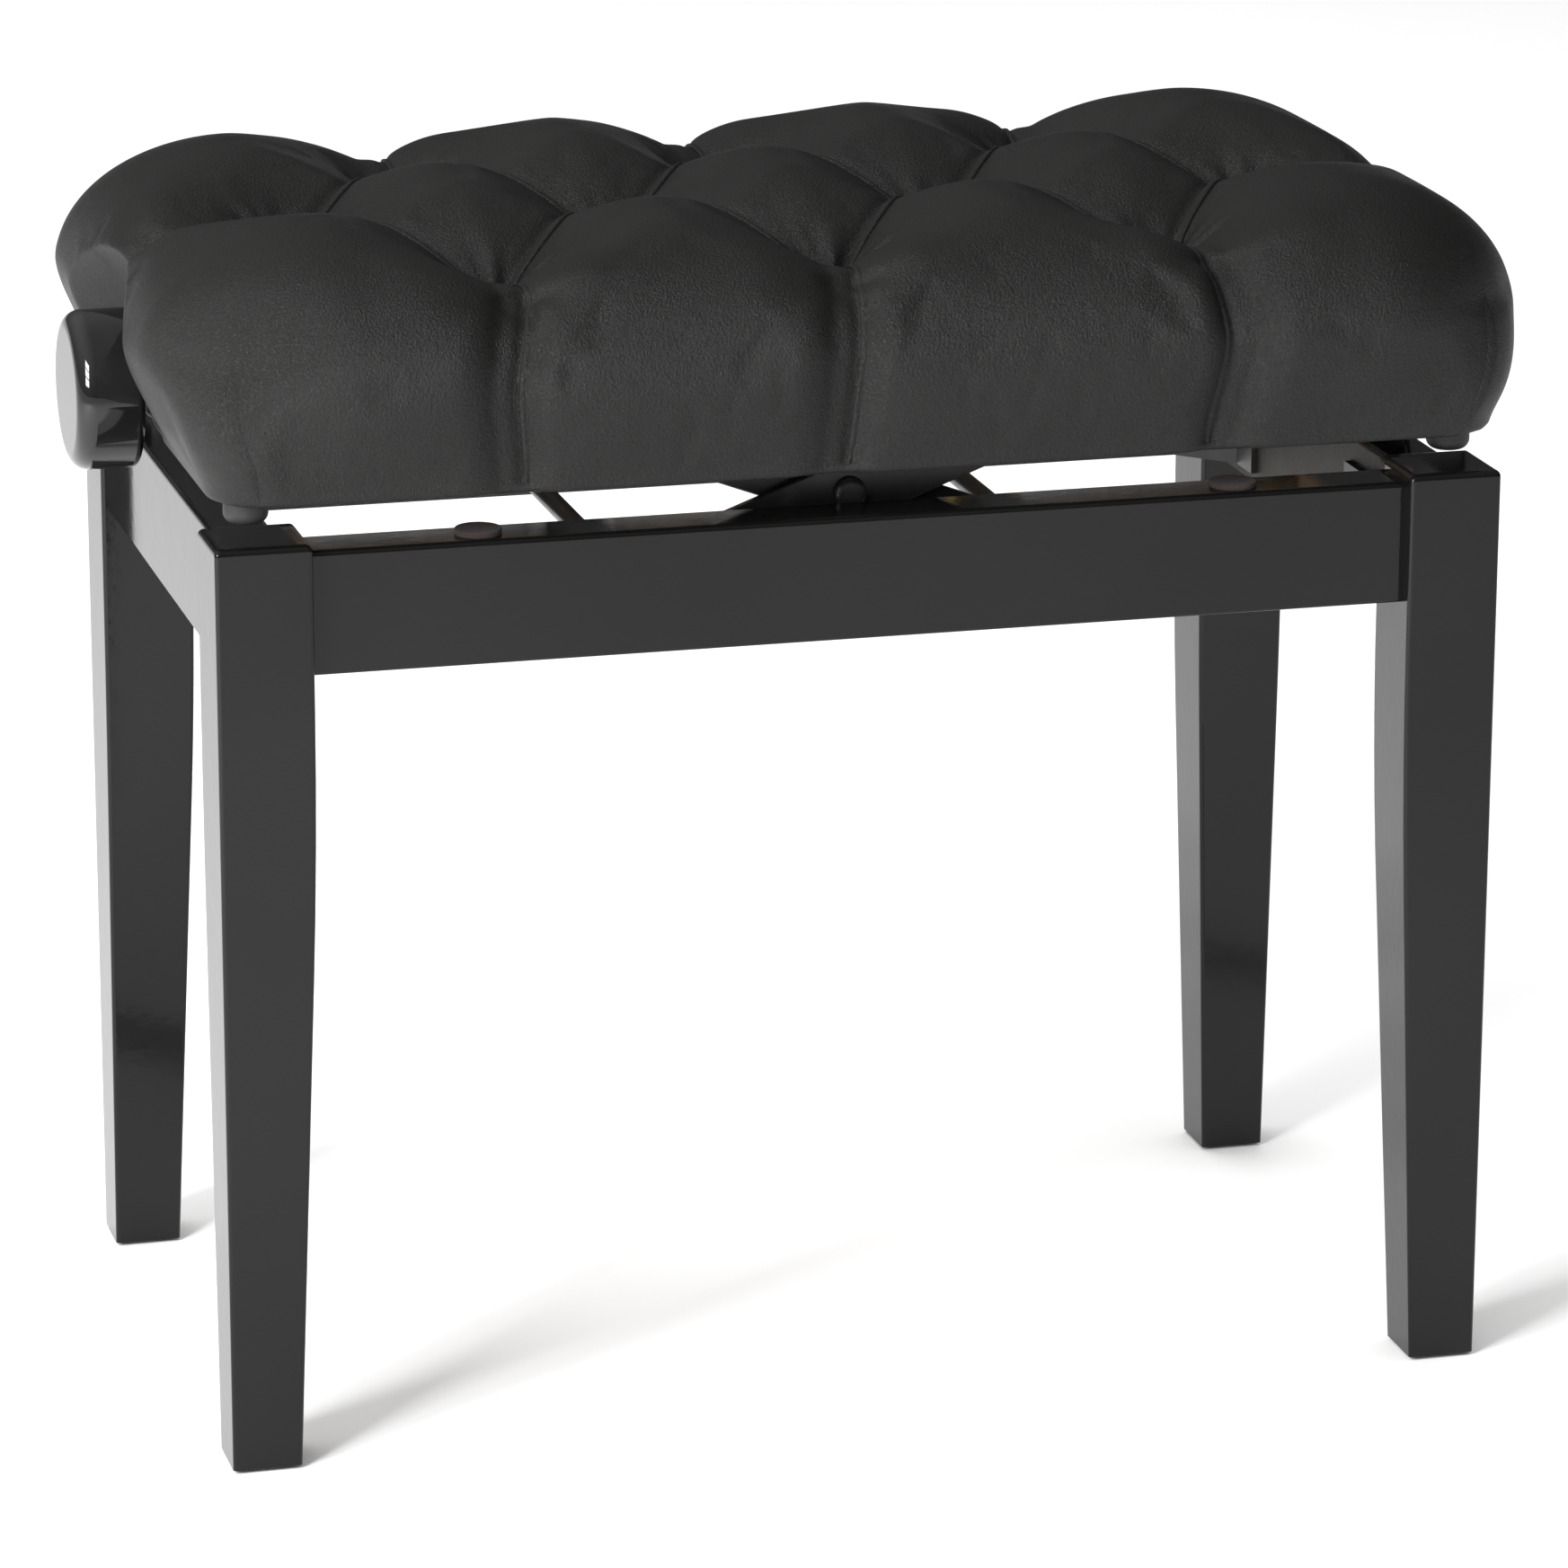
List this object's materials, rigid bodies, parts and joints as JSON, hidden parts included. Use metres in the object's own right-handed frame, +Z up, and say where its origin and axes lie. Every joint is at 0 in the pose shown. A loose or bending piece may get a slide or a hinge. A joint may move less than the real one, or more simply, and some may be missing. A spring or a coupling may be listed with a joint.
{
  "type": "adjustable piano bench",
  "caption": "Height-adjustable piano bench: deep-tufted leather seat on a scissor lift driven by side knobs, on four tapered square legs joined by gloss black aprons.",
  "frame": {"origin": "on the floor under the middle of the bench", "axes": "+X along the bench's length, +Y towards its back, +Z up"},
  "size_m": [0.566, 0.326, 0.475],
  "materials": {
    "lacquered_wood": "high-gloss black polyester lacquer on solid wood",
    "knob_gloss": "gloss black turned knob",
    "leather": "black grained leather over foam",
    "frame_wood": "planed pine and plywood, unfinished",
    "black_steel": "black stove-enamelled steel",
    "steel": "zinc-plated steel",
    "bright_steel": "ground and oiled steel",
    "brass": "turned brass",
    "rubber": "moulded black rubber",
    "felt": "dark brown pressed felt",
    "lining": "black woven upholstery lining",
    "nylon": "natural nylon"
  },
  "bodies": {
    "base": {"leg_front_left": "lacquered_wood", "leg_front_right": "lacquered_wood", "leg_back_left": "lacquered_wood", "leg_back_right": "lacquered_wood", "apron_front": "lacquered_wood", "apron_back": "lacquered_wood", "apron_left": "lacquered_wood", "apron_right": "lacquered_wood", "leg_glides": "nylon", "apron_dowels": "frame_wood", "corner_brackets": "black_steel", "corner_bolts": "black_steel", "corner_nuts": "black_steel", "bracket_screws": "steel", "felt_dots": "felt", "base_rail_front": "black_steel", "base_rail_back": "black_steel", "rail_screws": "steel", "lower_pivot_rod": "black_steel", "rod_collars": "steel"},
    "arm_a": {"scissor_arm_a_front": "black_steel", "scissor_arm_a_back": "black_steel", "centre_bolts": "black_steel", "centre_nuts": "steel"},
    "arm_b": {"scissor_arm_b_front": "black_steel", "scissor_arm_b_back": "black_steel", "slider_rod": "black_steel"},
    "seat": {"seat_board": "frame_wood", "seat_rail_front": "frame_wood", "seat_rail_back": "frame_wood", "seat_rail_left": "frame_wood", "seat_rail_right": "frame_wood", "seat_cushion": "leather", "seat_border": "leather", "seat_lining": "lining", "lining_staples": "steel", "seat_bumpers": "rubber", "bumper_screws": "steel", "fixed_bar": "black_steel", "bar_hangers": "black_steel", "hanger_screws": "steel", "spindle_bushes": "brass"},
    "nut": {"nut_bar": "black_steel", "travelling_nut": "brass", "nut_bar_clips": "steel"},
    "screw": {"spindle": "bright_steel", "thrust_collars": "steel", "knob_left": "knob_gloss", "knob_right": "knob_gloss", "knob_screws": "steel"}
  },
  "joints": [
    {"name": "lift", "type": "hinge", "parent": "base", "child": "arm_a", "pos_m": [-0.0843, 0, 0.33248], "axis": [0, -1, 0], "range_deg": [-1.7, 42.5]},
    {"name": "scissor", "type": "hinge", "parent": "arm_a", "child": "arm_b", "pos_m": [0, 0, 0.364], "axis": [0, 1, 0], "range_deg": [-3.4, 85]},
    {"name": "seat_level", "type": "hinge", "parent": "arm_b", "child": "seat", "pos_m": [-0.0843, 0, 0.39552], "axis": [0, -1, 0], "range_deg": [-1.7, 42.5]},
    {"name": "nut_travel", "type": "hinge", "parent": "arm_a", "child": "nut", "pos_m": [0.0843, 0, 0.39552], "axis": [0, 1, 0], "range_deg": [-1.7, 42.5]},
    {"name": "knob_turn", "type": "hinge", "parent": "seat", "child": "screw", "pos_m": [0, 0, 0.39552], "axis": [1, 0, 0], "range_deg": [-251, 6144]}
  ],
  "couplings": [
    {"joint": "scissor", "follows": "lift", "ratio": 2},
    {"joint": "seat_level", "follows": "lift", "ratio": 1},
    {"joint": "nut_travel", "follows": "lift", "ratio": 1},
    {"joint": "knob_turn", "follows": "lift", "ratio": 144.45}
  ]
}
